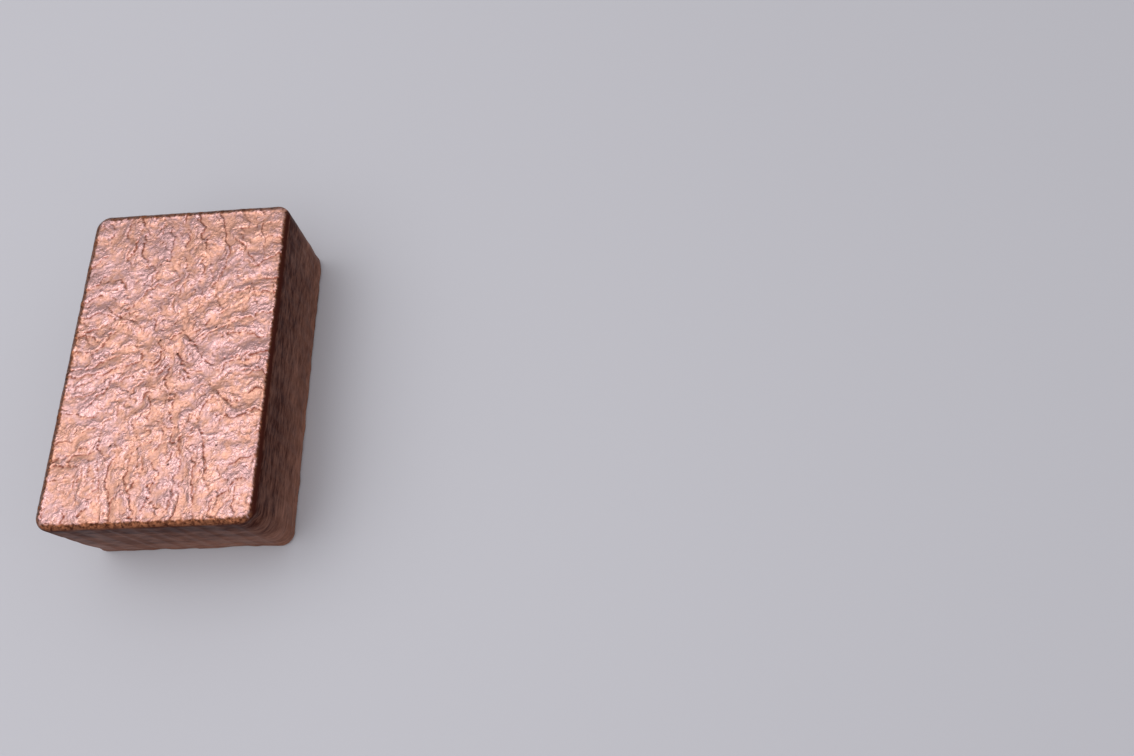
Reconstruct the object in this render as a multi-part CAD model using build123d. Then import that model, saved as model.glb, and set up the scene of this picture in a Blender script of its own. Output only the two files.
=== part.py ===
from build123d import *
import math
import os

# Cast copper ingot, poured open into a machined mould. Millimetres.
# X runs across it, Y along it and Z up. The origin is the middle of the foot, on the floor.

# Body, as the mould made it
ingot_height = 37.0  # foot to the top of the rolled edge
rim_width = 70.0  # across X, over the walls just under the rolled edge
rim_length = 112.0  # along Y, over the walls just under the rolled edge
wall_draft_deg = 1.0  # lean of all four walls, so that the ingot drops out of the mould
foot_corner_radius = 4.5  # upright corners at the foot, which widen upwards as cones
foot_edge_radius = 1.5  # round the flat foot
meniscus_radius = 2.5  # rolled edge, where the melt drew back from the wall

# Skin, as the air and the shrinking metal made it
crest_drop = 0.1  # highest crest of the skin below the top of the rolled edge
sink_depth = 1.1  # middle of the skin below its edge
swell_height = 0.3  # of the broad folds, each way from the sunk skin
end_fold_pitch = 12.0  # crest to crest of the folds that run out to the two ends
side_fold_pitch = 11.0  # crest to crest of the folds that run out to the two long walls
fold_stray = 3.5  # how far a fold strays sideways on its way to the wall
end_stray_length = 46.0  # along an end fold, from one stray to the next on the same side
side_stray_length = 39.0  # along a side fold, from one stray to the next on the same side
pour_offset = 6.0  # middle of the folds from the middle of the ingot, along Y

# The walls comb the folds square to themselves, against a tangle in the middle
wall_pull_power = 4
middle_tangle = 0.15

# The rim froze first, before the folds had risen there
frozen_share = 0.7
frozen_power = 8

# The skin is drawn through this many points for each fold
points_per_fold = 5


def draft_offset(height):
    """How far a drafted wall has moved outwards at this height above the foot."""
    return height * math.tan(math.radians(wall_draft_deg))


def wave(place, pitch):
    """A fold's rise and fall, between -1 and 1, at a place across it."""
    return math.sin(2 * math.pi * place / pitch)


def skin_level(x, y):
    """Height of the cast skin over a point of the floor."""
    across = abs(2 * x / rim_width)
    along = abs(2 * y / rim_length)
    sink = sink_depth * max(0, 1 - across**2) * max(0, 1 - along**2)

    end_folds = wave(x + fold_stray * wave(y - pour_offset, end_stray_length), end_fold_pitch)
    side_folds = wave(y - pour_offset + fold_stray * wave(x, side_stray_length), side_fold_pitch)
    end_pull = along**wall_pull_power
    side_pull = across**wall_pull_power
    combed = end_pull * end_folds + side_pull * side_folds
    tangled = middle_tangle * end_folds * side_folds
    swell = (combed + tangled) / (end_pull + side_pull + middle_tangle)

    frozen = frozen_share * min(1, across**frozen_power + along**frozen_power)
    return ingot_height - crest_drop - sink - swell_height * (1 - frozen) * (1 - swell)


def rolled_block():
    """The metal before its skin sank: drafted walls, cone corners, a rounded foot and a rolled edge."""
    rim_offset = draft_offset(ingot_height - meniscus_radius)
    foot = RectangleRounded(rim_width - 2 * rim_offset, rim_length - 2 * rim_offset, foot_corner_radius)
    block = extrude(foot, amount=ingot_height, taper=-wall_draft_deg)
    foot_edges = block.faces().sort_by(Axis.Z)[0].edges()
    block = fillet(foot_edges, foot_edge_radius)
    rim_edges = block.faces().sort_by(Axis.Z)[-1].edges()
    return fillet(rim_edges, meniscus_radius)


def cast_skin():
    """The free surface of the melt as it set, lofted along Y and drawn a little past the walls."""
    step = min(end_fold_pitch, side_fold_pitch) / points_per_fold
    columns = math.ceil(rim_width / step) + 1
    rows = math.ceil(rim_length / step) + 1
    places = [(i - columns / 2) * step for i in range(columns + 1)]
    sections = []
    for j in range(rows + 1):
        y = (j - rows / 2) * step
        points = [Vector(x, y, skin_level(x, y)) for x in places]
        sections.append(Wire([Edge.make_spline(points, parameters=places)]))
    return Shell.make_loft(sections).faces()[0]


def ingot():
    """The rolled block, trimmed by its skin."""
    air_height = 2 * (crest_drop + sink_depth + 2 * swell_height)
    air = extrude(cast_skin(), amount=air_height, dir=(0, 0, 1))
    return rolled_block() - air


os.makedirs("parts", exist_ok=True)
export_step(ingot(), "parts/ingot.step")
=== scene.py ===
import math

import bpy
import numpy as np
from mathutils import Matrix, Vector


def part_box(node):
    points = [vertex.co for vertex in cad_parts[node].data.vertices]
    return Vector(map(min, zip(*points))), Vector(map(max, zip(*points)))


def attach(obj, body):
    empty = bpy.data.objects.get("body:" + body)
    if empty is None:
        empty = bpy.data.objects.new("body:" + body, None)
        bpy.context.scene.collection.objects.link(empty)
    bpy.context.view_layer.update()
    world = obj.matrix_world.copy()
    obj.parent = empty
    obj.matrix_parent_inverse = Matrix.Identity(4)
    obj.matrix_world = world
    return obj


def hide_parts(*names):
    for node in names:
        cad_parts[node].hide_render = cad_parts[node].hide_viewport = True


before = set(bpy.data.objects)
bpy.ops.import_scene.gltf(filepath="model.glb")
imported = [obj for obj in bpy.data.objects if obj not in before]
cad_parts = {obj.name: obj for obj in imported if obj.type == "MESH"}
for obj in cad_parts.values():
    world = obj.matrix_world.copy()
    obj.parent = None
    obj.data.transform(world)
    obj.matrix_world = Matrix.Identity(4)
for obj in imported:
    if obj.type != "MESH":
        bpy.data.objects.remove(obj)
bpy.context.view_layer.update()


# The ingot's body, one pour of copper into an open, machined mould, as a closed mesh. Its walls have a
# slight draft, the foot is rounded, and surface tension rolled the upper edge. The mesh is fine enough
# on top to carry the folds of the skin. Sizes are in millimetres, and MM turns them to metres.
MM = 0.001
ingot_height = 37.0
foot_corner_radius = 4.5
foot_edge_radius = 1.5
meniscus_radius = 2.5
wall_draft = math.tan(math.radians(1.0))
skin_cell = 0.32
roll_loops = 8
wall_loops = 24
foot_loops = 4

low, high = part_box("ingot")
rim_width = (high.x - low.x) / MM
rim_length = (high.y - low.y) / MM
rim_level = ingot_height - meniscus_radius
rim_corner_radius = foot_corner_radius + wall_draft * rim_level
cells_across = 2 * round((rim_width / 2 - meniscus_radius) / skin_cell)
cells_along = 2 * round((rim_length / 2 - meniscus_radius) / skin_cell)


def rounded_side(half_run, radius, cells):
    """A side of a rounded rectangle from mid-corner to mid-corner: evenly spaced places and their fall."""
    straight = half_run - radius
    reach = straight + radius * math.pi / 4
    along = np.linspace(-reach, reach, cells + 1)
    turn = np.maximum(np.abs(along) - straight, 0) / radius
    place = np.sign(along) * (np.minimum(np.abs(along), straight) + radius * np.sin(turn))
    return place, radius * (1 - np.cos(turn))


def level_loop(inset, level, thinning):
    """A loop round the body, counter-clockwise from the front left corner, of every thinning-th cell."""
    half_width = rim_width / 2 - inset
    half_length = rim_length / 2 - inset
    radius = rim_corner_radius - inset
    x, y_fall = rounded_side(half_width, radius, cells_across // thinning)
    y, x_fall = rounded_side(half_length, radius, cells_along // thinning)
    front = np.stack([x, y_fall - half_length], 1)[:-1]
    right = np.stack([half_width - x_fall, y], 1)[:-1]
    loop = np.concatenate([front, right, -front, -right])
    return np.column_stack([loop, np.full(len(loop), level)])


def skin_grid(loop):
    """The level grid inside a loop, blended from its four sides."""
    front = loop[: cells_across + 1, None]
    right = loop[None, cells_across : cells_across + cells_along + 1]
    back = front * [1, -1, 1]
    left = right * [-1, 1, 1]
    u = np.linspace(0, 1, cells_across + 1)[:, None, None]
    v = np.linspace(0, 1, cells_along + 1)[None, :, None]
    corners = (1 - v) * ((1 - u) * front[0] + u * front[-1]) + v * ((1 - u) * back[0] + u * back[-1])
    return (1 - v) * front + v * back + (1 - u) * left + u * right - corners


def body_loops():
    """Inset, level and thinning of each loop, from the skin's edge down to the flat of the foot."""
    for step in range(1, roll_loops + 1):
        turn = math.pi / 2 * step / roll_loops
        yield meniscus_radius * (1 - math.sin(turn)), rim_level + meniscus_radius * math.cos(turn), 1
    for step in range(1, wall_loops + 1):
        level = rim_level + (foot_edge_radius - rim_level) * step / wall_loops
        yield wall_draft * (rim_level - level), level, 2
    for step in range(1, foot_loops + 1):
        turn = math.pi / 2 * step / foot_loops
        inset = wall_draft * rim_level + foot_edge_radius * (1 - math.cos(turn))
        yield inset, foot_edge_radius * (1 - math.sin(turn)), 2


def body_mesh():
    """The whole body as one closed mesh with a single flat face under it."""
    grid = skin_grid(level_loop(meniscus_radius, ingot_height, 1))
    numbers = np.arange(grid[..., 0].size).reshape(grid.shape[:2])
    corners = [numbers[:-1, :-1], numbers[1:, :-1], numbers[1:, 1:], numbers[:-1, 1:]]
    faces = np.stack(corners, -1).reshape(-1, 4).tolist()
    points = [grid.reshape(-1, 3)]
    count = numbers.size
    above = np.concatenate([numbers[:-1, 0], numbers[-1, :-1], numbers[:0:-1, -1], numbers[0, :0:-1]])
    for inset, level, thinning in body_loops():
        points.append(level_loop(inset, level, thinning))
        below = np.arange(count, count + len(points[-1]))
        count += len(below)
        after = np.roll(below, -1)
        if len(above) == len(below):
            faces += np.stack([below, after, np.roll(above, -1), above], 1).tolist()
        else:
            faces += np.stack([below, after, np.roll(above, -2)[::2], above[1::2]], 1).tolist()
            faces += np.stack([below, above[1::2], above[::2]], 1).tolist()
        above = below
    faces.append(above[::-1].tolist())
    mesh = bpy.data.meshes.new("cast_ingot")
    mesh.from_pydata((np.concatenate(points) * MM).tolist(), [], faces)
    mesh.shade_smooth()
    return mesh


ingot = bpy.data.objects.new("cast_ingot", body_mesh())
bpy.context.scene.collection.objects.link(ingot)


# The skin, the free surface of the melt. It set as a film that buckled while the copper under it shrank:
# it lies in folds that end in a steep lip, long ones square to the walls and short ones tangled in the
# middle, and its swollen parts are crossed by fine crinkles. Sizes are in millimetres.
skin_sizes = {
    "Fold pitch": 7.0,
    "Fold height": 0.38,
    "Ripple pitch": 2.6,
    "Ripple height": 0.11,
    "Pillow size": 3.0,
    "Pillow height": 0.14,
    "Pucker size": 1.25,
    "Pucker height": 0.1,
    "Lobe size": 13.0,
    "Lobe height": 0.45,
    "Crease height": 0.24,
    "Pinhole depth": 0.3,
    "Comb size": 1.6,
    "Comb depth": 0.16,
    "Wall dip size": 6.5,
    "Wall dip depth": 0.35,
    "Dent size": 3.5,
    "Dent depth": 0.9,
}

# About how far the bottoms of the folds lie below the skin of the solid: beside the rolled edge, up to
# rim_band from the walls, and in the middle, from middle_start on. No fold comes nearer to the level of
# the rolled edge's top than roof_gap.
rim_depth = 0.9
middle_depth = 0.55
rim_band = 3.0
middle_start = 12.0
roof_gap = 0.15

# The walls comb the folds square to themselves, against a lower tangle in the middle
wall_pull_power = 4.0
middle_tangle = 0.12
middle_share = 0.68

# How far in from the walls the fine comb of the edge is full, and how far it reaches
full_comb_reach = 1.0
comb_reach = 4.0

# How wide the brown edge outside the skin is, at the back and left, at the front and at the right, and
# the strength of the noise that tears it into rags along the long walls and at the ends
edge_width = 2.1
front_edge_width = 1.7
right_edge_width = 1.25
side_rag_reach = 2.4
end_rag_reach = 3.0
rag_size = 1.1

# The middle of a small dent under the front right corner of the rolled edge
dent_place = (33.5, -54.5, 31.0)

# The main creases, each as a walk over the skin with the higher side on its left
main_creases = [
    [(-32.3, -33.3), (-28.5, -32.8), (-25.3, -30.8), (-21.5, -29.5), (-19.3, -27.8)],
    [(-31.5, -34.8), (-26.5, -36.3), (-23.0, -35.5)],
    [(-14.8, -35.0), (-16.0, -33.0), (-18.0, -31.0), (-19.0, -28.5), (-18.8, -24.5)],
    [(-17.8, -44.5), (-15.8, -42.5), (-16.0, -40.5), (-17.5, -36.5)],
    [(-23.3, -41.8), (-22.0, -39.5), (-22.0, -36.8)],
    [(-15.8, -52.5), (-16.8, -49.0), (-18.6, -46.0)],
    [(-9.8, -45.8), (-6.5, -44.5), (-4.2, -41.5), (-3.1, -38.0), (-3.5, -34.0)],
    [(-12.3, -51.0), (-11.3, -48.5), (-9.8, -45.8)],
    [(3.6, -37.5), (6.5, -33.0), (8.3, -27.0), (9.5, -20.0)],
    [(-1.6, -52.5), (0.0, -49.0), (0.4, -45.0), (1.2, -40.5)],
    [(6.3, -53.0), (7.2, -49.0), (8.4, -45.0), (7.5, -40.5)],
    [(19.5, -45.5), (17.8, -41.0), (17.0, -36.0), (15.5, -30.5), (14.5, -25.5), (12.0, -21.0)],
    [(20.0, -52.5), (20.3, -48.5), (22.0, -47.3), (25.5, -46.0), (27.5, -43.2), (29.5, -41.0)],
    [(22.5, -20.6), (26.5, -21.3), (33.3, -21.6)],
    [(15.2, -50.5), (15.6, -47.0), (14.5, -44.3)],
    [(-11.5, -33.5), (-8.6, -32.3), (-7.2, -30.3)],
    [(-11.3, -33.3), (-14.3, -29.3)],
    [(-32.3, 9.8), (-29.8, 11.5), (-25.5, 12.3), (-22.5, 14.6)],
    [(-28.5, 1.8), (-25.0, 4.4), (-21.8, 7.5), (-20.2, 10.3)],
    [(-32.0, -3.2), (-27.5, -3.0), (-24.0, -0.5), (-20.5, 0.8), (-17.0, 2.0)],
    [(-24.3, -6.8), (-22.0, -4.4), (-18.5, -2.6)],
    [(-32.8, -12.0), (-30.5, -9.3), (-27.0, -7.8)],
    [(-26.0, -16.0), (-22.0, -12.6), (-19.0, -10.0), (-18.4, -5.5)],
    [(-12.0, -12.0), (-9.8, -9.0), (-7.5, -6.8)],
    [(-15.2, -3.0), (-13.5, -1.0), (-9.2, -0.8), (-10.2, 2.5), (-12.8, 5.5)],
    [(-7.0, -4.6), (-3.5, -5.6), (-0.5, -4.6)],
    [(9.8, -8.6), (7.0, -7.3), (5.5, -4.5), (4.6, -1.7), (2.0, 1.5)],
    [(10.6, -1.5), (10.3, 2.0), (6.5, 5.5), (5.0, 7.0), (2.5, 11.0)],
    [(23.6, -18.8), (20.5, -15.6), (17.2, -12.0), (14.4, -9.4)],
    [(18.0, -0.9), (23.0, -0.4), (26.0, 0.5), (32.8, 0.0)],
    [(19.5, -2.9), (24.0, -1.7), (32.5, -2.0)],
    [(21.5, -6.1), (27.0, -5.3), (34.0, -6.0)],
    [(16.5, 7.3), (21.0, 8.6), (25.5, 7.4), (33.3, 8.2)],
    [(-18.0, 16.0), (-17.2, 17.8), (-15.8, 20.0)],
    [(-10.5, 11.6), (-14.0, 13.6), (-17.5, 14.8), (-21.0, 15.6), (-23.5, 18.8)],
    [(-10.0, 44.0), (-9.6, 48.0), (-9.6, 54.0)],
    [(-5.0, 36.5), (-5.3, 39.5), (-7.8, 42.5)],
    [(-13.5, 34.6), (-9.5, 35.6), (-5.0, 35.9)],
    [(-20.5, 37.3), (-18.2, 40.0), (-18.4, 44.0), (-16.8, 48.5)],
    [(-18.3, 22.5), (-18.4, 26.0), (-21.0, 29.2), (-25.0, 29.8), (-31.0, 29.2)],
    [(15.6, 45.0), (19.0, 41.3), (22.0, 38.8), (23.5, 35.5), (26.5, 32.3)],
    [(3.0, 35.3), (5.5, 37.3), (8.0, 40.0)],
    [(26.6, 19.0), (26.0, 22.0), (24.8, 25.8)],
    [(10.0, 24.5), (12.8, 27.5), (13.8, 31.0), (14.4, 34.5)],
    [(16.5, 22.4), (19.0, 23.2), (24.0, 23.0)],
    [(-13.0, 28.5), (-9.5, 29.3), (-9.0, 32.5)],
    [(3.6, 17.5), (4.2, 14.0)],
    [(22.6, 12.5), (22.9, 17.5)],
]
crease_end_share = 0.35
crease_step = 0.3

# The pinholes, at their deepest out to the inner radius, and gone at the outer one
pinholes = [
    (20.0, -30.9), (5.3, -36.4), (-5.8, -30.7), (-14.6, -29.5),
    (14.2, 10.4), (-4.3, 6.6), (2.3, 1.5),
]
pinhole_inner_radius = 0.15
pinhole_radius = 0.4


# A Mix node has its share in socket 0, and mixes numbers from sockets 2 and 3, places from 4 and 5 to
# output 1, and colours from 6 and 7 to output 2
def add(tree, kind, *feeds, out=0, **settings):
    """Adds a node with its settings, feeds its sockets in order or by name, and returns an output."""
    node = tree.nodes.new(kind)
    for name, value in settings.items():
        setattr(node, name, value)
    named = feeds[0] if feeds and isinstance(feeds[0], dict) else dict(enumerate(feeds))
    for socket, value in named.items():
        if isinstance(value, bpy.types.NodeSocket):
            tree.links.new(value, node.inputs[socket])
        elif value is not None:
            node.inputs[socket].default_value = value
    return node.outputs[out] if node.outputs else node


def crease_lines():
    """The main creases as curves on the floor plane, whose radius is their strength."""
    lines = bpy.data.curves.new("main_creases", "CURVE")
    lines.dimensions = "3D"
    for walk in main_creases:
        spline = lines.splines.new("NURBS")
        spline.points.add(len(walk) - 1)
        for point, (x, y) in zip(spline.points, walk):
            point.co = (x * MM, y * MM, 0, 1)
            point.radius = 1.0
        for point in (spline.points[0], spline.points[-1]):
            point.radius = crease_end_share
        spline.order_u = 3
        spline.use_endpoint_u = True
    return bpy.data.objects.new("main_creases", lines)


def pinhole_marks():
    """The pinholes as loose points on the floor plane."""
    marks = bpy.data.meshes.new("pinholes")
    marks.from_pydata([(x * MM, y * MM, 0) for x, y in pinholes], [], [])
    return bpy.data.objects.new("pinholes", marks)


skin_tree = bpy.data.node_groups.new("cast_skin", "GeometryNodeTree")
skin_tree.interface.new_socket("Geometry", in_out="OUTPUT", socket_type="NodeSocketGeometry")
input_kinds = {
    "Geometry": "NodeSocketGeometry",
    "Solid": "NodeSocketObject",
    "Creases": "NodeSocketObject",
    "Pinholes": "NodeSocketObject",
    "Copper": "NodeSocketMaterial",
}
input_kinds.update(dict.fromkeys(skin_sizes, "NodeSocketFloat"))
for name, kind in input_kinds.items():
    skin_tree.interface.new_socket(name, in_out="INPUT", socket_type=kind)
given = skin_tree.nodes.new("NodeGroupInput").outputs

# Places in millimetres, and on the floor plane
position = add(skin_tree, "GeometryNodeInputPosition")
metric = add(skin_tree, "ShaderNodeVectorMath", {0: position, "Scale": 1 / MM}, operation="SCALE")
x, y, z = [add(skin_tree, "ShaderNodeSeparateXYZ", metric, out=axis) for axis in "XYZ"]
place = add(skin_tree, "ShaderNodeVectorMath", metric, (1, 1, 0), operation="MULTIPLY")

# Share of the free skin: all of the top, none of the walls, and rising over the rolled edge between
skin_rise = 1.9
skin_levels = {"Value": z, "From Min": rim_level, "From Max": rim_level + skin_rise}
skin = add(skin_tree, "ShaderNodeMapRange", skin_levels, interpolation_type="SMOOTHSTEP")

# Depth of the solid's own skin below the mesh, found by rays from above, blurred over its facets
ray_rise = 50.0
facet_blur = 12
solid = add(skin_tree, "GeometryNodeObjectInfo", {"Object": given["Solid"]}, out="Geometry")
sky = add(skin_tree, "ShaderNodeVectorMath", position, (0, 0, ray_rise * MM), operation="ADD")
ray = {"Target Geometry": solid, "Source Position": sky, "Ray Direction": (0, 0, -1), "Ray Length": 1.0}
hit = add(skin_tree, "GeometryNodeRaycast", ray, out="Hit Position")
hit = add(skin_tree, "ShaderNodeVectorMath", {0: hit, "Scale": 1 / MM}, operation="SCALE")
hit = add(skin_tree, "ShaderNodeSeparateXYZ", hit, out="Z")
sunk = add(skin_tree, "ShaderNodeMath", hit, z, operation="SUBTRACT")
sunk = add(skin_tree, "ShaderNodeMath", sunk, skin, operation="MULTIPLY")
sunk = {0: sunk, "Iterations": facet_blur}
sunk = add(skin_tree, "GeometryNodeBlurAttribute", sunk, data_type="FLOAT")

# Pull of the long walls and of the ends on the folds
across = add(skin_tree, "ShaderNodeMath", x, 2 / rim_width, operation="MULTIPLY")
across = add(skin_tree, "ShaderNodeMath", across, operation="ABSOLUTE")
along = add(skin_tree, "ShaderNodeMath", y, 2 / rim_length, operation="MULTIPLY")
along = add(skin_tree, "ShaderNodeMath", along, operation="ABSOLUTE")
side_pull = add(skin_tree, "ShaderNodeMath", across, wall_pull_power, operation="POWER")
end_pull = add(skin_tree, "ShaderNodeMath", along, wall_pull_power, operation="POWER")
pull = add(skin_tree, "ShaderNodeMath", side_pull, end_pull, operation="ADD")
pull = add(skin_tree, "ShaderNodeMath", pull, middle_tangle, operation="ADD")


def stray(size, reach, seed):
    """A wandering of places over the skin, of this size and reach in millimetres."""
    feeds = {"Vector": place, "W": seed, "Scale": 1 / size, "Detail": 3.0, "Roughness": 0.55}
    noise = add(skin_tree, "ShaderNodeTexNoise", feeds, out="Color", noise_dimensions="4D")
    noise = add(skin_tree, "ShaderNodeVectorMath", noise, (0.5, 0.5, 0.5), operation="SUBTRACT")
    return add(skin_tree, "ShaderNodeVectorMath", noise, (reach, reach, 0), operation="MULTIPLY")


def share(size, seed, low, high, least=0.0):
    """How much of a form there is at a place, from least to 1, in soft patches of this size."""
    feeds = {"Vector": place, "W": seed, "Scale": 1 / size, "Detail": 1.0}
    noise = add(skin_tree, "ShaderNodeTexNoise", feeds, noise_dimensions="4D")
    feeds = {"Value": noise, "From Min": low, "From Max": high, "To Min": least}
    return add(skin_tree, "ShaderNodeMapRange", feeds, interpolation_type="SMOOTHSTEP")


def by_pull(side, end, middle):
    """Mixes the forms of the long walls, the ends and the middle by their pull."""
    mixed = add(skin_tree, "ShaderNodeMath", side, side_pull, operation="MULTIPLY")
    mixed = add(skin_tree, "ShaderNodeMath", end, end_pull, mixed, operation="MULTIPLY_ADD")
    mixed = add(skin_tree, "ShaderNodeMath", middle, middle_tangle, mixed, operation="MULTIPLY_ADD")
    return add(skin_tree, "ShaderNodeMath", mixed, pull, operation="DIVIDE")


# How the folds wander: widely, most of all in the middle, closely in patches, and finely everywhere
loose_in_middle = 1.7
loose_at_walls = 1.05
wall_pull = 0.35
wide_stray = stray(size=12.0, reach=16.0, seed=1.7)
loose = {
    "Value": pull,
    "From Min": middle_tangle,
    "From Max": wall_pull,
    "To Min": loose_in_middle,
    "To Max": loose_at_walls,
}
loose = add(skin_tree, "ShaderNodeMapRange", loose)
wide_stray = add(skin_tree, "ShaderNodeVectorMath", {0: wide_stray, "Scale": loose}, operation="SCALE")
close_stray = stray(size=4.5, reach=8.0, seed=2.9)
patchy = share(size=8.0, seed=2.3, low=0.4, high=0.6, least=0.3)
close_stray = add(skin_tree, "ShaderNodeVectorMath", {0: close_stray, "Scale": patchy}, operation="SCALE")
fine_stray = stray(size=1.4, reach=1.2, seed=3.3)
wandered = add(skin_tree, "ShaderNodeVectorMath", place, wide_stray, operation="ADD")
wandered = add(skin_tree, "ShaderNodeVectorMath", wandered, close_stray, operation="ADD")
wandered = add(skin_tree, "ShaderNodeVectorMath", wandered, fine_stray, operation="ADD")


# Shares of a fold's pitch: where it has risen, and where it starts to fall over its lip
fold_risen = 0.9
lip_start = 0.92


def lipped(way, pitch, seed):
    """Folds that rise slowly along a way over the skin and end in a steep lip; 0 to 1."""
    phase = add(skin_tree, "ShaderNodeVectorMath", wandered, way, out="Value", operation="DOT_PRODUCT")
    phase = add(skin_tree, "ShaderNodeMath", phase, pitch, operation="DIVIDE")
    phase = add(skin_tree, "ShaderNodeMath", phase, seed, operation="ADD")
    phase = add(skin_tree, "ShaderNodeMath", phase, operation="FRACT")
    rise = {"Value": phase, "From Min": 0.0, "From Max": fold_risen}
    rise = add(skin_tree, "ShaderNodeMapRange", rise, interpolation_type="SMOOTHSTEP")
    fall = {"Value": phase, "From Min": lip_start, "From Max": 1.0, "To Min": 1.0, "To Max": 0.0}
    fall = add(skin_tree, "ShaderNodeMapRange", fall, interpolation_type="SMOOTHSTEP")
    return add(skin_tree, "ShaderNodeMath", rise, fall, operation="MULTIPLY")


# The ways over the skin that the folds step along: at the long walls, at the ends, and two in the middle
side_way = (0.2, -1.0, 0)
end_way = (1.0, 0.1, 0)
forward_way = (0.5, -0.85, 0)
sideways_way = (0.95, 0.3, 0)


def lipped_all_ways(pitch, seed):
    """Folds square to the nearest wall, and in two ways, patch by patch, in the middle."""
    side = lipped(side_way, pitch, seed)
    end = lipped(end_way, pitch, seed + 0.31)
    forward = lipped(forward_way, pitch, seed + 0.67)
    sideways = lipped(sideways_way, pitch, seed + 0.12)
    patches = share(size=7.0, seed=seed + 2.0, low=0.44, high=0.56)
    middle = add(skin_tree, "ShaderNodeMix", {0: patches, 2: forward, 3: sideways})
    middle = add(skin_tree, "ShaderNodeMath", middle, middle_share, operation="MULTIPLY")
    return by_pull(side, end, middle)


def pillowed(places, size, seed, sharpness):
    """Rounded swellings between creases that branch; 0 in the creases to 1 on top."""
    scaled = add(skin_tree, "ShaderNodeVectorMath", places, size, operation="DIVIDE")
    moved = add(skin_tree, "ShaderNodeVectorMath", scaled, (seed, seed, 0), operation="ADD")
    cells = {"voronoi_dimensions": "2D", "feature": "DISTANCE_TO_EDGE"}
    edge = add(skin_tree, "ShaderNodeTexVoronoi", {"Vector": moved, "Scale": 1.0}, **cells)
    edge = add(skin_tree, "ShaderNodeMath", edge, -sharpness, operation="MULTIPLY")
    edge = add(skin_tree, "ShaderNodeMath", edge, operation="EXPONENT")
    return add(skin_tree, "ShaderNodeMath", 1.0, edge, operation="SUBTRACT")


pillow_narrowing = 0.5


def combed_pillows(size, seed, sharpness):
    """Pillows drawn out square to the nearest wall, and as wide as long in the middle."""
    to_side = (pillow_narrowing, 1, 1)
    to_side = add(skin_tree, "ShaderNodeVectorMath", wandered, to_side, operation="MULTIPLY")
    to_end = (1, pillow_narrowing, 1)
    to_end = add(skin_tree, "ShaderNodeVectorMath", wandered, to_end, operation="MULTIPLY")
    side = pillowed(to_side, size, seed, sharpness)
    end = pillowed(to_end, size, seed + 5, sharpness)
    return by_pull(side, end, pillowed(wandered, size, seed + 9, sharpness))


fold = lipped_all_ways(given["Fold pitch"], seed=0.1)
fold_share = share(size=6.0, seed=4.1, low=0.36, high=0.5, least=0.3)
fold = add(skin_tree, "ShaderNodeMath", fold, fold_share, operation="MULTIPLY")
ripple = lipped_all_ways(given["Ripple pitch"], seed=0.53)
ripple_share = share(size=4.0, seed=7.1, low=0.42, high=0.58, least=0.1)
ripple = add(skin_tree, "ShaderNodeMath", ripple, ripple_share, operation="MULTIPLY")
pillow = combed_pillows(given["Pillow size"], seed=3.0, sharpness=7.0)
pillow_share = share(size=5.0, seed=6.3, low=0.35, high=0.6, least=0.35)
pillow = add(skin_tree, "ShaderNodeMath", pillow, pillow_share, operation="MULTIPLY")
pucker = combed_pillows(given["Pucker size"], seed=17.0, sharpness=6.0)
lobe_seed = 5.2
lobe = add(skin_tree, "ShaderNodeVectorMath", place, given["Lobe size"], operation="DIVIDE")
lobe = {"Vector": lobe, "W": lobe_seed, "Scale": 1.0, "Detail": 0.0}
lobe = add(skin_tree, "ShaderNodeTexNoise", lobe, noise_dimensions="4D")
lobe = add(skin_tree, "ShaderNodeMath", lobe, 0.5, operation="SUBTRACT")

# Distance and side of the nearest main crease
line = add(skin_tree, "GeometryNodeObjectInfo", {"Object": given["Creases"]}, out="Geometry")
line = {"Curve": line, "Length": crease_step * MM}
line = add(skin_tree, "GeometryNodeCurveToPoints", line, mode="LENGTH", out="Points")
way = line.node.outputs["Tangent"]
crease_stray = stray(size=2.6, reach=4.0, seed=8.1)
probe = add(skin_tree, "ShaderNodeVectorMath", place, crease_stray, operation="ADD")
probe = add(skin_tree, "ShaderNodeVectorMath", probe, fine_stray, operation="ADD")
probe = add(skin_tree, "ShaderNodeVectorMath", {0: probe, "Scale": MM}, operation="SCALE")
nearest = add(skin_tree, "GeometryNodeSampleNearest", {"Geometry": line, "Sample Position": probe})
strength = {"Geometry": line, "Value": add(skin_tree, "GeometryNodeInputRadius"), "Index": nearest}
strength = add(skin_tree, "GeometryNodeSampleIndex", strength)
mark = {"Geometry": line, "Value": add(skin_tree, "GeometryNodeInputPosition"), "Index": nearest}
mark = add(skin_tree, "GeometryNodeSampleIndex", mark, data_type="FLOAT_VECTOR")
way = {"Geometry": line, "Value": way, "Index": nearest}
way = add(skin_tree, "GeometryNodeSampleIndex", way, data_type="FLOAT_VECTOR")
away = add(skin_tree, "ShaderNodeVectorMath", probe, mark, operation="SUBTRACT")
away = add(skin_tree, "ShaderNodeVectorMath", {0: away, "Scale": 1 / MM}, operation="SCALE")
gap = add(skin_tree, "ShaderNodeVectorMath", away, out="Value", operation="LENGTH")
left = add(skin_tree, "ShaderNodeVectorMath", way, away, operation="CROSS_PRODUCT")
left = add(skin_tree, "ShaderNodeSeparateXYZ", left, out="Z")
left = add(skin_tree, "ShaderNodeMath", left, operation="SIGN")
offset = add(skin_tree, "ShaderNodeMath", gap, left, operation="MULTIPLY")
faint = share(size=2.5, seed=9.7, low=0.35, high=0.6, least=0.25)
strength = add(skin_tree, "ShaderNodeMath", strength, faint, operation="MULTIPLY")

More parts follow.
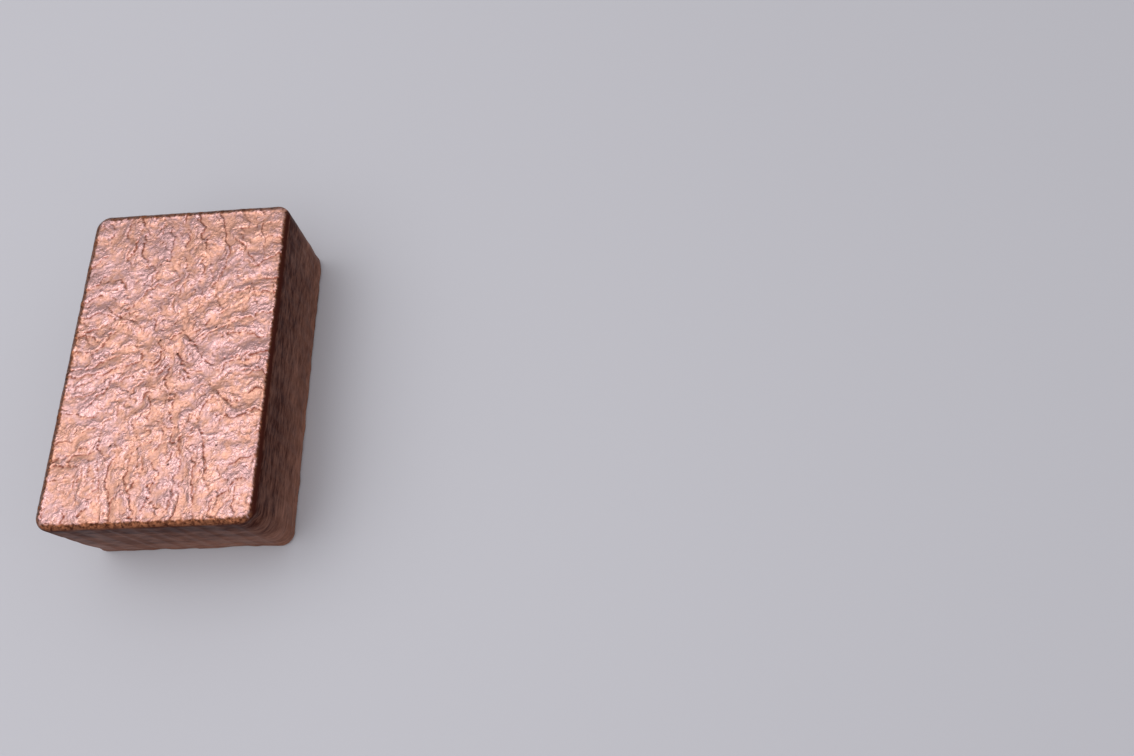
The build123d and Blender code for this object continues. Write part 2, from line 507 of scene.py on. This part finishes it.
# The fold beside the crease: on its left a steep lip and the back of the fold, measured to the left, and
# on its right a hollow and a line of painted shade, with their middles measured to the right
lip_foot = -0.2
lip_top = 0.4
fold_brow = 0.5
fold_end = 3.2
hollow_middle = 0.35
hollow_reach = 0.7
hollow_share = 0.45
dark_middle = 0.1
dark_reach = 0.4
dark_share = 0.65
lip = {"Value": offset, "From Min": lip_foot, "From Max": lip_top}
lip = add(skin_tree, "ShaderNodeMapRange", lip, interpolation_type="SMOOTHSTEP")
back = {"Value": offset, "From Min": fold_brow, "From Max": fold_end, "To Min": 1.0, "To Max": 0.0}
back = add(skin_tree, "ShaderNodeMapRange", back, interpolation_type="SMOOTHSTEP")
ridge = add(skin_tree, "ShaderNodeMath", lip, back, operation="MULTIPLY")
hollow = add(skin_tree, "ShaderNodeMath", offset, hollow_middle, operation="ADD")
hollow = add(skin_tree, "ShaderNodeMath", hollow, operation="ABSOLUTE")
hollow = {"Value": hollow, "From Max": hollow_reach, "To Min": hollow_share, "To Max": 0.0}
hollow = add(skin_tree, "ShaderNodeMapRange", hollow, interpolation_type="SMOOTHSTEP")
crease = add(skin_tree, "ShaderNodeMath", ridge, hollow, operation="SUBTRACT")
crease = add(skin_tree, "ShaderNodeMath", crease, strength, operation="MULTIPLY")
dark = add(skin_tree, "ShaderNodeMath", offset, dark_middle, operation="ADD")
dark = add(skin_tree, "ShaderNodeMath", dark, operation="ABSOLUTE")
dark = {"Value": dark, "From Min": 0.0, "From Max": dark_reach, "To Min": dark_share, "To Max": 0.0}
dark = add(skin_tree, "ShaderNodeMapRange", dark, interpolation_type="SMOOTHSTEP")
dark = add(skin_tree, "ShaderNodeMath", dark, strength, operation="MULTIPLY")

# The comb: fine folds over the rolled edge, where the film was pinned to the walls, drawn out square to
# them and turned at the corners
comb_narrowing = 0.2
comb_sharpness = 5.0
corner_seam = 1.0
to_wall = add(skin_tree, "ShaderNodeMath", x, operation="ABSOLUTE")
to_wall = add(skin_tree, "ShaderNodeMath", rim_width / 2, to_wall, operation="SUBTRACT")
to_end = add(skin_tree, "ShaderNodeMath", y, operation="ABSOLUTE")
to_end = add(skin_tree, "ShaderNodeMath", rim_length / 2, to_end, operation="SUBTRACT")
to_rim = add(skin_tree, "ShaderNodeMath", to_wall, to_end, operation="MINIMUM")
at_rim = {
    "Value": to_rim,
    "From Min": full_comb_reach,
    "From Max": comb_reach,
    "To Min": 1.0,
    "To Max": 0.0,
}
at_rim = add(skin_tree, "ShaderNodeMapRange", at_rim, interpolation_type="SMOOTHSTEP")
at_end = add(skin_tree, "ShaderNodeMath", to_wall, to_end, operation="SUBTRACT")
at_end = {"Value": at_end, "From Min": -corner_seam, "From Max": corner_seam}
at_end = add(skin_tree, "ShaderNodeMapRange", at_end)
near = add(skin_tree, "ShaderNodeVectorMath", place, close_stray, operation="ADD")
side_comb = add(skin_tree, "ShaderNodeVectorMath", near, (comb_narrowing, 1, 1), operation="MULTIPLY")
side_comb = pillowed(side_comb, given["Comb size"], seed=31.0, sharpness=comb_sharpness)
end_comb = add(skin_tree, "ShaderNodeVectorMath", near, (1, comb_narrowing, 1), operation="MULTIPLY")
end_comb = pillowed(end_comb, given["Comb size"], seed=37.0, sharpness=comb_sharpness)
comb = add(skin_tree, "ShaderNodeMix", {0: at_end, 2: side_comb, 3: end_comb})
comb = add(skin_tree, "ShaderNodeMath", 1.0, comb, operation="SUBTRACT")
comb = add(skin_tree, "ShaderNodeMath", comb, at_rim, operation="MULTIPLY")

# Pinholes, where gas came out
hole = add(skin_tree, "GeometryNodeObjectInfo", {"Object": given["Pinholes"]}, out="Geometry")
flat = add(skin_tree, "ShaderNodeVectorMath", {0: place, "Scale": MM}, operation="SCALE")
hole = {"Target": hole, "Source Position": flat}
hole = add(skin_tree, "GeometryNodeProximity", hole, out="Distance", target_element="POINTS")
hole = {
    "Value": hole,
    "From Min": pinhole_inner_radius * MM,
    "From Max": pinhole_radius * MM,
    "To Min": 1.0,
    "To Max": 0.0,
}
hole = add(skin_tree, "ShaderNodeMapRange", hole, interpolation_type="SMOOTHSTEP")

# Height of the skin, and its swollen parts, which stand out over the broad run of it and carry most of
# the puckers
broad_blur = 80
flat_below = -0.08
swollen_above = 0.06
least_puckered = 0.35
height = add(skin_tree, "ShaderNodeMath", fold, given["Fold height"], operation="MULTIPLY")
height = add(skin_tree, "ShaderNodeMath", ripple, given["Ripple height"], height, operation="MULTIPLY_ADD")
height = add(skin_tree, "ShaderNodeMath", pillow, given["Pillow height"], height, operation="MULTIPLY_ADD")
height = add(skin_tree, "ShaderNodeMath", crease, given["Crease height"], height, operation="MULTIPLY_ADD")
broad = {0: height, "Iterations": broad_blur}
broad = add(skin_tree, "GeometryNodeBlurAttribute", broad, data_type="FLOAT")
swollen = add(skin_tree, "ShaderNodeMath", height, broad, operation="SUBTRACT")
swollen = {"Value": swollen, "From Min": flat_below, "From Max": swollen_above}
swollen = add(skin_tree, "ShaderNodeMapRange", swollen, interpolation_type="SMOOTHSTEP")
puckered = add(skin_tree, "ShaderNodeMath", pucker, given["Pucker height"], operation="MULTIPLY")
pucker_share = add(skin_tree, "ShaderNodeMapRange", {"Value": swollen, "To Min": least_puckered})
height = add(skin_tree, "ShaderNodeMath", puckered, pucker_share, height, operation="MULTIPLY_ADD")
height = add(skin_tree, "ShaderNodeMath", lobe, given["Lobe height"], height, operation="MULTIPLY_ADD")
pit = add(skin_tree, "ShaderNodeMath", hole, given["Pinhole depth"], operation="MULTIPLY")
height = add(skin_tree, "ShaderNodeMath", height, pit, operation="SUBTRACT")

# Where the copper gets painted shade: grooves, which lie below the skin close by, and the dark lines of
# the creases
close_blur = 3
groove_start = 0.02
groove_full = 0.08
close_by = {0: height, "Iterations": close_blur}
close_by = add(skin_tree, "GeometryNodeBlurAttribute", close_by, data_type="FLOAT")
groove = add(skin_tree, "ShaderNodeMath", close_by, height, operation="SUBTRACT")
groove = {"Value": groove, "From Min": groove_start, "From Max": groove_full}
groove = add(skin_tree, "ShaderNodeMapRange", groove, interpolation_type="SMOOTHSTEP")
groove = add(skin_tree, "ShaderNodeMath", groove, dark, operation="MAXIMUM")

# How far the skin is moved out of the mesh: under a roof, which keeps it inside the solid's box
depth = {
    "Value": to_rim,
    "From Min": rim_band,
    "From Max": middle_start,
    "To Min": rim_depth,
    "To Max": middle_depth,
}
depth = add(skin_tree, "ShaderNodeMapRange", depth)
cut = add(skin_tree, "ShaderNodeMath", height, depth, operation="SUBTRACT")
roof = add(skin_tree, "ShaderNodeMath", -roof_gap, sunk, operation="SUBTRACT")
cut = add(skin_tree, "ShaderNodeMath", cut, roof, operation="MINIMUM")
comb = add(skin_tree, "ShaderNodeMath", comb, given["Comb depth"], operation="MULTIPLY")
cut = add(skin_tree, "ShaderNodeMath", cut, comb, operation="SUBTRACT")
cut = add(skin_tree, "ShaderNodeMath", cut, skin, operation="MULTIPLY")

# Shallow dips in the walls, wider than high, and deeper at the foot, where the melt chilled first
dip_flattening = 1.6
foot_reach = 12.0
dip_at_foot = 3.4
dip_above = 0.6
dip_seed = 12.5
dip_start = 0.35
dip_full = 0.75
dip = add(skin_tree, "ShaderNodeVectorMath", metric, (1, 1, dip_flattening), operation="MULTIPLY")
dip = add(skin_tree, "ShaderNodeVectorMath", dip, given["Wall dip size"], operation="DIVIDE")
dip = {"Vector": dip, "W": dip_seed, "Scale": 1.0, "Detail": 1.0}
dip = add(skin_tree, "ShaderNodeTexNoise", dip, noise_dimensions="4D")
dip = add(skin_tree, "ShaderNodeMapRange", {"Value": dip, "From Min": dip_start, "From Max": dip_full})
near_foot = {"Value": z, "From Max": foot_reach, "To Min": dip_at_foot, "To Max": dip_above}
near_foot = add(skin_tree, "ShaderNodeMapRange", near_foot)
dip = add(skin_tree, "ShaderNodeMath", dip, near_foot, operation="MULTIPLY")
above_foot = add(skin_tree, "ShaderNodeMapRange", {"Value": z, "From Max": foot_edge_radius})
dip = add(skin_tree, "ShaderNodeMath", dip, above_foot, operation="MULTIPLY")
walled = add(skin_tree, "ShaderNodeMath", 1.0, skin, operation="SUBTRACT")
dip = add(skin_tree, "ShaderNodeMath", dip, walled, operation="MULTIPLY")
dip = add(skin_tree, "ShaderNodeMath", dip, given["Wall dip depth"], operation="MULTIPLY")
cut = add(skin_tree, "ShaderNodeMath", cut, dip, operation="SUBTRACT")
dent = add(skin_tree, "ShaderNodeVectorMath", metric, dent_place, out="Value", operation="DISTANCE")
dent = {"Value": dent, "From Max": given["Dent size"], "To Min": given["Dent depth"], "To Max": 0.0}
dent = add(skin_tree, "ShaderNodeMapRange", dent, interpolation_type="SMOOTHSTEP")
cut = add(skin_tree, "ShaderNodeMath", cut, dent, operation="SUBTRACT")

# The skin's outer margin, ragged as the film tore along the walls. The brown edge outside it is narrower
# at the front, and narrowest at the right, where it is also darkened with painted shade. Each change
# starts and is full that far from its wall.
front_start = 3.5
front_full = 2.5
rag_narrowing = 0.35
margin_softness = 0.35
right_start = 1.8
right_full = 0.3
front = {"Value": y, "From Min": front_start - rim_length / 2, "From Max": front_full - rim_length / 2}
front = add(skin_tree, "ShaderNodeMapRange", front, interpolation_type="SMOOTHSTEP")
side_rags = add(skin_tree, "ShaderNodeVectorMath", near, (rag_narrowing, 1, 1), operation="MULTIPLY")
end_rags = add(skin_tree, "ShaderNodeVectorMath", near, (1, rag_narrowing, 1), operation="MULTIPLY")
rags = {0: at_end, 4: side_rags, 5: end_rags}
rags = add(skin_tree, "ShaderNodeMix", rags, out=1, data_type="VECTOR")
rags = {"Vector": rags, "Scale": 1 / rag_size, "Detail": 2.0, "Roughness": 0.6}
rags = add(skin_tree, "ShaderNodeTexNoise", rags)
rags = add(skin_tree, "ShaderNodeMath", rags, 0.5, operation="SUBTRACT")
reach = {"Value": at_end, "To Min": side_rag_reach, "To Max": end_rag_reach}
reach = add(skin_tree, "ShaderNodeMapRange", reach)
margin = add(skin_tree, "ShaderNodeMath", rags, reach, to_rim, operation="MULTIPLY_ADD")
width = {"Value": x, "From Max": rim_width / 2, "To Min": edge_width, "To Max": right_edge_width}
width = add(skin_tree, "ShaderNodeMapRange", width)
width = add(skin_tree, "ShaderNodeMix", {0: front, 2: width, 3: front_edge_width})
margin = add(skin_tree, "ShaderNodeMath", margin, width, operation="SUBTRACT")
top = {"Value": margin, "From Min": -margin_softness, "From Max": margin_softness}
top = add(skin_tree, "ShaderNodeMapRange", top, interpolation_type="SMOOTHSTEP")
# Share of the painted shade that darkens the brown edge along the right wall
right = {"Value": x, "From Min": rim_width / 2 - right_start, "From Max": rim_width / 2 - right_full}
right = add(skin_tree, "ShaderNodeMapRange", right, interpolation_type="SMOOTHSTEP")

# The finished body: marks for the material, the move, and the copper
shape = given["Geometry"]
marks = {"skin": skin, "top": top, "right": right, "groove": groove, "swollen": swollen, "hole": hole}
for name, value in marks.items():
    mark = {"Geometry": shape, "Name": name, "Value": value}
    shape = add(skin_tree, "GeometryNodeStoreNamedAttribute", mark)
normal = add(skin_tree, "GeometryNodeInputNormal")
move = add(skin_tree, "ShaderNodeVectorMath", {0: normal, "Scale": cut}, operation="SCALE")
sinking = add(skin_tree, "ShaderNodeCombineXYZ", 0.0, 0.0, sunk)
move = add(skin_tree, "ShaderNodeVectorMath", move, sinking, operation="ADD")
move = add(skin_tree, "ShaderNodeVectorMath", {0: move, "Scale": MM}, operation="SCALE")
shape = add(skin_tree, "GeometryNodeSetPosition", {"Geometry": shape, "Offset": move})
shape = add(skin_tree, "GeometryNodeRealizeInstances", shape)
shape = add(skin_tree, "GeometryNodeSetMaterial", {"Geometry": shape, "Material": given["Copper"]})
add(skin_tree, "NodeGroupOutput", shape)


# The copper. Where its skin lies smooth it is clean cast metal, satin from the grain of the film. A thin
# lilac oxide lies on the swollen parts; the grooves, hairlines and pinholes get painted shade, and the
# rolled edge is brown and pitted, with painted shade along the right wall. The walls carry a dull, dark
# brown scale, streaked along the mould, darkened in part as painted shade. Sizes are in millimetres.
clean_colour = "#CD9986"
film_colour = "#C69D9C"
# Painted shade for the grooves, the creases' dark lines and the hairlines
groove_shade_colour = "#7E4438"
# Painted shade for the inside of the pinholes
hole_shade_colour = "#2A1814"
edge_colour = "#945F45"
edge_pit_colour = "#4F2A1E"
# The edge along the right wall, darkened as painted shade
right_edge_shade_colour = "#44201A"
# The walls' colours: dark brown scale, made darker still as painted shade
scale_and_shade_colour = "#906454"
dark_scale_and_shade_colour = "#3A1811"
skin_roughness = 0.24
wall_roughness = 0.5
wall_gloss = 0.03
tint_size = 2.2
tint_reach = 0.35
broad_tint_size = 14.0
broad_tint_low = -0.15
broad_tint_high = 0.55
swelling_share = 0.6
edge_pit_size = 1.0
wisp_size = 6.0
wisp_reach = 1.0
streak_length = 5.0
streak_height = 1.2
stain_length = 25.0
stain_height = 6.0
streak_share = 0.65
stain_share = 0.35
shade_start = 4.0
shade_end = 33.0
foot_shade = -0.1
rim_shade = 0.12
darkest_scale = 0.34
lightest_scale = 0.7
fully_bare = 0.35
crinkle_size = 1.9
crinkle_bend = 2.4
crinkle_stray = 3.0
crinkle_height = 0.45
least_crinkled = 0.55
streak_relief = 0.02
hairline_size = 1.7
hairline_bend = 1.9
hairline_stray = 2.4
hairline_depth = 0.017
hairline_shade_share = 0.3


def linear(code):
    """An sRGB hex colour as linear red, green, blue and alpha."""
    parts = [int(code[i : i + 2], 16) / 255 for i in (1, 3, 5)]
    return [p / 12.92 if p <= 0.04045 else ((p + 0.055) / 1.055) ** 2.4 for p in parts] + [1]


cast_copper = bpy.data.materials.new("cast_copper")
cast_copper.use_nodes = True
coat = cast_copper.node_tree
coat.nodes.clear()
spot = add(coat, "ShaderNodeTexCoord", out="Object")

# The marks that the skin's tree left on the mesh, in their order there
skinned, topped, right_edge_shade, groove_shade, filmed, hole_shade = [
    add(coat, "ShaderNodeAttribute", attribute_name=name, out="Fac") for name in marks
]

# The skin: clean copper to lilac film, by the swelling and in close and broad patches, and painted shade
# in the grooves
tint = {"Vector": spot, "Scale": 1 / (tint_size * MM), "Detail": 3.0, "Roughness": 0.6}
tint = add(coat, "ShaderNodeTexNoise", tint)
tint = {"Value": tint, "From Min": 0.4, "From Max": 0.6, "To Min": -tint_reach, "To Max": tint_reach}
tint = add(coat, "ShaderNodeMapRange", tint)
broad_tint = {"Vector": spot, "Scale": 1 / (broad_tint_size * MM), "Detail": 1.0}
broad_tint = add(coat, "ShaderNodeTexNoise", broad_tint)
broad_tint = {
    "Value": broad_tint,
    "From Min": 0.35,
    "From Max": 0.65,
    "To Min": broad_tint_low,
    "To Max": broad_tint_high,
}
broad_tint = add(coat, "ShaderNodeMapRange", broad_tint)
film = add(coat, "ShaderNodeMath", tint, broad_tint, operation="ADD")
film = add(coat, "ShaderNodeMath", filmed, swelling_share, film, operation="MULTIPLY_ADD", use_clamp=True)
colour = {0: film, 6: linear(clean_colour), 7: linear(film_colour)}
colour = add(coat, "ShaderNodeMix", colour, out=2, data_type="RGBA")
# Painted shade in the grooves and along the creases' dark lines
colour = {0: groove_shade, 6: colour, 7: linear(groove_shade_colour)}
colour = add(coat, "ShaderNodeMix", colour, out=2, data_type="RGBA")

# Hairline folds in the film, dented and given painted shade, where a bent noise is within this band of its
# middle
hairline_band = 0.045
hair_bend = {"Vector": spot, "Scale": 1 / (hairline_bend * MM), "Detail": 1.0}
hair_bend = add(coat, "ShaderNodeTexNoise", hair_bend, out="Color")
hair_bend = {0: hair_bend, "Scale": hairline_stray * MM}
hair_bend = add(coat, "ShaderNodeVectorMath", hair_bend, operation="SCALE")
hair_bend = add(coat, "ShaderNodeVectorMath", hair_bend, spot, operation="SUBTRACT")
hair = {"Vector": hair_bend, "Scale": 1 / (hairline_size * MM), "Detail": 1.0}
hair = add(coat, "ShaderNodeTexNoise", hair)
hair = add(coat, "ShaderNodeMath", hair, 0.5, operation="SUBTRACT")
hair = add(coat, "ShaderNodeMath", hair, operation="ABSOLUTE")
hair = {"Value": hair, "From Min": 0.0, "From Max": hairline_band, "To Min": 1.0, "To Max": 0.0}
hair = add(coat, "ShaderNodeMapRange", hair, interpolation_type="SMOOTHSTEP")
hair = add(coat, "ShaderNodeMath", hair, skinned, operation="MULTIPLY")
# The hairlines get part of the grooves' painted shade
hair_shade = add(coat, "ShaderNodeMath", hair, hairline_shade_share, operation="MULTIPLY")
colour = {0: hair_shade, 6: colour, 7: linear(groove_shade_colour)}
colour = add(coat, "ShaderNodeMix", colour, out=2, data_type="RGBA")

# The rolled edge: brown and pitted, with painted shade along the right wall
pitted = {"Vector": spot, "Scale": 1 / (edge_pit_size * MM), "Detail": 2.0, "Roughness": 0.6}
pitted = add(coat, "ShaderNodeTexNoise", pitted)
pitted = add(coat, "ShaderNodeMapRange", {"Value": pitted, "From Min": 0.35, "From Max": 0.6})
edge = {0: pitted, 6: linear(edge_pit_colour), 7: linear(edge_colour)}
edge = add(coat, "ShaderNodeMix", edge, out=2, data_type="RGBA")
# Painted shade on the edge along the right wall
edge = {0: right_edge_shade, 6: edge, 7: linear(right_edge_shade_colour)}
edge = add(coat, "ShaderNodeMix", edge, out=2, data_type="RGBA")
colour = add(coat, "ShaderNodeMix", {0: topped, 6: edge, 7: colour}, out=2, data_type="RGBA")

# The walls: scale in streaks and broader stains along the mould, with painted shade that is darkest under
# the rolled edge and lightest towards the foot
wisp = {"Vector": spot, "Scale": 1 / (wisp_size * MM), "Detail": 1.0}
wisp = add(coat, "ShaderNodeTexNoise", wisp, out="Color")
wisp = add(coat, "ShaderNodeVectorMath", {0: wisp, "Scale": wisp_reach * MM}, operation="SCALE")
wisp = add(coat, "ShaderNodeVectorMath", wisp, spot, operation="ADD")
lengths = (1 / (streak_length * MM), 1 / (streak_length * MM), 1 / (streak_height * MM))
streaks = add(coat, "ShaderNodeMapping", {"Vector": wisp, "Scale": lengths})
streaks = {"Vector": streaks, "Scale": 1.0, "Detail": 3.0, "Roughness": 0.7}
streaks = add(coat, "ShaderNodeTexNoise", streaks)
lengths = (1 / (stain_length * MM), 1 / (stain_length * MM), 1 / (stain_height * MM))
stains = add(coat, "ShaderNodeMapping", {"Vector": wisp, "Scale": lengths})
stains = add(coat, "ShaderNodeTexNoise", {"Vector": stains, "Scale": 1.0, "Detail": 2.0})
scale = add(coat, "ShaderNodeMath", streaks, streak_share, operation="MULTIPLY")
scale = add(coat, "ShaderNodeMath", stains, stain_share, scale, operation="MULTIPLY_ADD")
level = add(coat, "ShaderNodeSeparateXYZ", spot, out="Z")
# Painted shade: darker up under the rolled edge, lighter towards the foot
shade_under_rim = {
    "Value": level,
    "From Min": shade_start * MM,
    "From Max": shade_end * MM,
    "To Min": foot_shade,
    "To Max": rim_shade,
}
shade_under_rim = add(coat, "ShaderNodeMapRange", shade_under_rim)
scale = add(coat, "ShaderNodeMath", scale, shade_under_rim, operation="SUBTRACT")
scale = {"Value": scale, "From Min": darkest_scale, "From Max": lightest_scale}
scale = add(coat, "ShaderNodeMapRange", scale)
wall = {0: scale, 6: linear(dark_scale_and_shade_colour), 7: linear(scale_and_shade_colour)}
wall = add(coat, "ShaderNodeMix", wall, out=2, data_type="RGBA")
bare = {"Value": skinned, "From Min": 0.0, "From Max": fully_bare}
bare = add(coat, "ShaderNodeMapRange", bare, interpolation_type="SMOOTHSTEP")
colour = add(coat, "ShaderNodeMix", {0: bare, 6: wall, 7: colour}, out=2, data_type="RGBA")
# Painted shade in the pinholes
colour = {0: hole_shade, 6: colour, 7: linear(hole_shade_colour)}
colour = add(coat, "ShaderNodeMix", colour, out=2, data_type="RGBA")

# Smoothest where the film is swollen, dull on the walls
smooth = add(coat, "ShaderNodeMath", skinned, filmed, operation="ADD")
rough = {"Value": smooth, "From Max": 2.0, "To Min": wall_roughness, "To Max": skin_roughness}
rough = add(coat, "ShaderNodeMapRange", rough)

# Crinkles in the film, too sharp for the mesh to hold. The finest real ones, a few tenths of a millimetre
# apart, are too small to show, so these and the hairlines are drawn as coarse as they need to show.
bend = {"Vector": spot, "Scale": 1 / (crinkle_bend * MM), "Detail": 1.0}
bend = add(coat, "ShaderNodeTexNoise", bend, out="Color")
bend = add(coat, "ShaderNodeVectorMath", {0: bend, "Scale": crinkle_stray * MM}, operation="SCALE")
bend = add(coat, "ShaderNodeVectorMath", bend, spot, operation="ADD")
crinkles = {"Vector": bend, "Scale": 1 / (crinkle_size * MM), "Detail": 1.5, "Roughness": 0.55}
crinkles = add(coat, "ShaderNodeTexNoise", crinkles)
crinkles = add(coat, "ShaderNodeMath", crinkles, 0.5, operation="SUBTRACT")
crinkles = add(coat, "ShaderNodeMath", crinkles, operation="ABSOLUTE")
crinkle_share = add(coat, "ShaderNodeMapRange", {"Value": filmed, "To Min": least_crinkled})
crinkles = add(coat, "ShaderNodeMath", crinkles, crinkle_share, operation="MULTIPLY")
crinkles = add(coat, "ShaderNodeMath", crinkles, skinned, operation="MULTIPLY")
crinkles = add(coat, "ShaderNodeMath", crinkles, -crinkle_height * MM, operation="MULTIPLY")
bumps = add(coat, "ShaderNodeMath", streaks, streak_relief * MM, crinkles, operation="MULTIPLY_ADD")
bumps = add(coat, "ShaderNodeMath", hair, -hairline_depth * MM, bumps, operation="MULTIPLY_ADD")
bumps = add(coat, "ShaderNodeBump", {"Height": bumps, "Distance": 1.0})
copper = {"Base Color": colour, "Metallic": bare, "Roughness": rough, "Normal": bumps}
copper["Specular IOR Level"] = wall_gloss
copper = add(coat, "ShaderNodeBsdfPrincipled", copper)
add(coat, "ShaderNodeOutputMaterial", {"Surface": copper})

# The body, dressed in its skin and made a plain mesh
creases = crease_lines()
holes = pinhole_marks()
skin_maker = ingot.modifiers.new("cast_skin", "NODES")
skin_maker.node_group = skin_tree
fed = {"Solid": bpy.data.objects["ingot"], "Creases": creases, "Pinholes": holes, "Copper": cast_copper}
fed.update(skin_sizes)
for socket in skin_tree.interface.items_tree:
    if socket.in_out == "INPUT" and socket.name in fed:
        skin_maker[socket.identifier] = fed[socket.name]
graph = bpy.context.evaluated_depsgraph_get()
skinned_mesh = bpy.data.meshes.new_from_object(ingot.evaluated_get(graph))
skinned_mesh.name = "cast_ingot"
ingot.modifiers.clear()
ingot.data = skinned_mesh
bpy.data.objects.remove(creases)
bpy.data.objects.remove(holes)
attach(ingot, "root")
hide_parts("ingot")


# The floor, a pale board with a satin coat of paint, so large that the camera sees none of its edges.
# Its reach is in metres.
floor_reach = 3.0
floor_colour = "#C0BFC7"
floor_roughness = 0.55

floor_board = bpy.data.meshes.new("floor")
corners = [(-1, -1, 0), (1, -1, 0), (1, 1, 0), (-1, 1, 0)]
floor_board.from_pydata([Vector(corner) * floor_reach for corner in corners], [], [(0, 1, 2, 3)])
floor = bpy.data.objects.new("floor", floor_board)
bpy.context.scene.collection.objects.link(floor)
floor_paint = bpy.data.materials.new("satin_floor_paint")
floor_paint.use_nodes = True
paint = floor_paint.node_tree
paint.nodes.clear()
coating = {"Base Color": linear(floor_colour), "Roughness": floor_roughness}
coating = add(paint, "ShaderNodeBsdfPrincipled", coating)
add(paint, "ShaderNodeOutputMaterial", {"Surface": coating})
floor_board.materials.append(floor_paint)


# The light of a pale studio: a large soft box overhead, and a smaller one in it as the key.
# Places and sizes are in metres.
studio_light = (0.6, 0.6, 0.6, 1)
ceiling_box_place = (-0.28, -0.08, 0.93)
ceiling_box_size = (1.6, 1.4)
ceiling_box_brightness = 0.75
key_box_place = (-0.30, 0.08, 0.95)
key_box_size = (0.46, 0.46)
key_box_brightness = 1.4

studio = bpy.data.worlds.new("studio")
studio.use_nodes = True
studio.node_tree.nodes["Background"].inputs["Color"].default_value = studio_light
bpy.context.scene.world = studio


def soft_box(name, place, size, brightness):
    """A box of even light that faces the ingot; its brightness is that of its own face."""
    lamp = bpy.data.lights.new(name, "AREA")
    lamp.shape = "RECTANGLE"
    lamp.size = size[0]
    lamp.size_y = size[1]
    lamp.energy = brightness * math.pi * size[0] * size[1]
    box = bpy.data.objects.new(name, lamp)
    box.location = place
    box.rotation_euler = (-Vector(place)).to_track_quat("-Z", "Y").to_euler()
    bpy.context.scene.collection.objects.link(box)


soft_box("ceiling_box", ceiling_box_place, ceiling_box_size, ceiling_box_brightness)
soft_box("key_box", key_box_place, key_box_size, key_box_brightness)


# The camera, held above the front right of the ingot and looking steeply down. Its place is in
# millimetres.
camera_place = (150.70, -120.77, 292.20)
camera_heading = math.radians(11.184)
camera_tilt = math.radians(67.044)
camera_roll = math.radians(-13.168)
camera_lens = 28.70
camera_sensor = 36.0

lens = bpy.data.cameras.new("camera")
lens.lens = camera_lens
lens.sensor_width = camera_sensor
camera = bpy.data.objects.new("camera", lens)
aim = Matrix.Rotation(camera_heading, 4, "Z") @ Matrix.Rotation(math.pi / 2 - camera_tilt, 4, "X")
aim = aim @ Matrix.Rotation(camera_roll, 4, "Z")
camera.matrix_world = Matrix.Translation(Vector(camera_place) * MM) @ aim
bpy.context.scene.collection.objects.link(camera)
bpy.context.scene.camera = camera
bpy.context.scene.view_settings.view_transform = "Standard"
